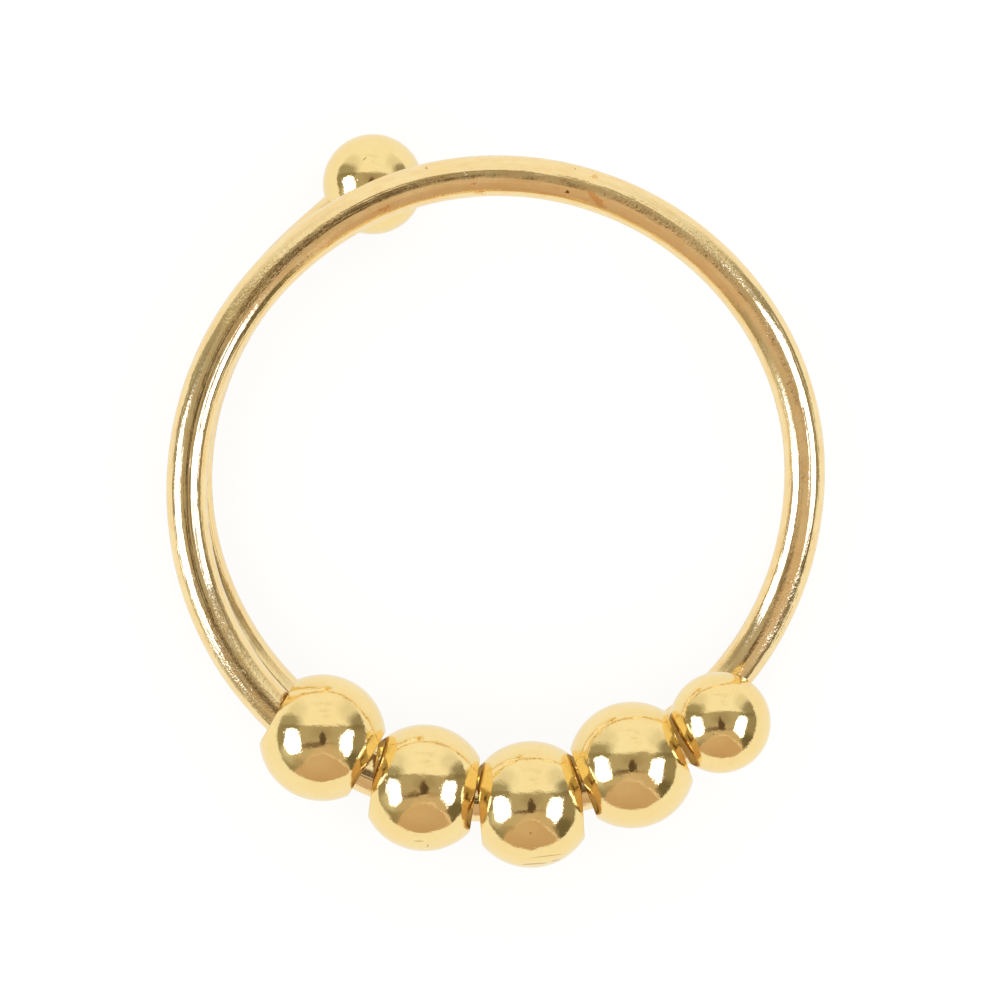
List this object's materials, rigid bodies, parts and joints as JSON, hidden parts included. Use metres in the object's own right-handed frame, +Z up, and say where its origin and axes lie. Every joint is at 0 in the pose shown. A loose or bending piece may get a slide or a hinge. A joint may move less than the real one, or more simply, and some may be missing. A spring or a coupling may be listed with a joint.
{
  "type": "fidget ring",
  "caption": "Open finger ring of round gold-coloured wire wound more than one turn, with loose round beads that slide and spin on it and a ball closing each wire end.",
  "frame": {"origin": "middle of the ring's box, on the surface that it lies on", "axes": "+Z up, nearly along the ring's axis; +Y from the beads across the finger hole to the back end ball; +X to the side of the front end ball"},
  "size_m": [0.0208, 0.0234, 0.0057],
  "materials": {
    "gold_wire": "polished gold plating over drawn wire",
    "gold_bead": "polished gold plating with fine pits"
  },
  "bodies": {
    "ring": {"ring_wire": "gold_wire", "end_ball_front": "gold_bead", "end_ball_back": "gold_bead"},
    "first_bead": {"bead_1": "gold_bead"},
    "second_bead": {"bead_2": "gold_bead"},
    "third_bead": {"bead_3": "gold_bead"},
    "fourth_bead": {"bead_4": "gold_bead"}
  },
  "joints": [
    {"name": "bead_1_slide", "type": "hinge", "parent": "ring", "child": "first_bead", "pos_m": [0.00007, 0.00025, 0.00426], "axis": [-0.0023, 0.0497, -0.9988], "range_deg": [0, 109]},
    {"name": "bead_2_spin", "type": "hinge", "parent": "ring", "child": "second_bead", "pos_m": [-0.00229, -0.00917, 0.00362], "axis": [0.9903, -0.1389, -0.0092], "continuous": true},
    {"name": "bead_3_spin", "type": "hinge", "parent": "ring", "child": "third_bead", "pos_m": [0.00107, -0.0097, 0.00368], "axis": [0.9976, 0.0697, 0.0011], "continuous": true},
    {"name": "bead_4_spin", "type": "hinge", "parent": "ring", "child": "fourth_bead", "pos_m": [0.00425, -0.00846, 0.00367], "axis": [0.9304, 0.3661, 0.016], "continuous": true}
  ]
}
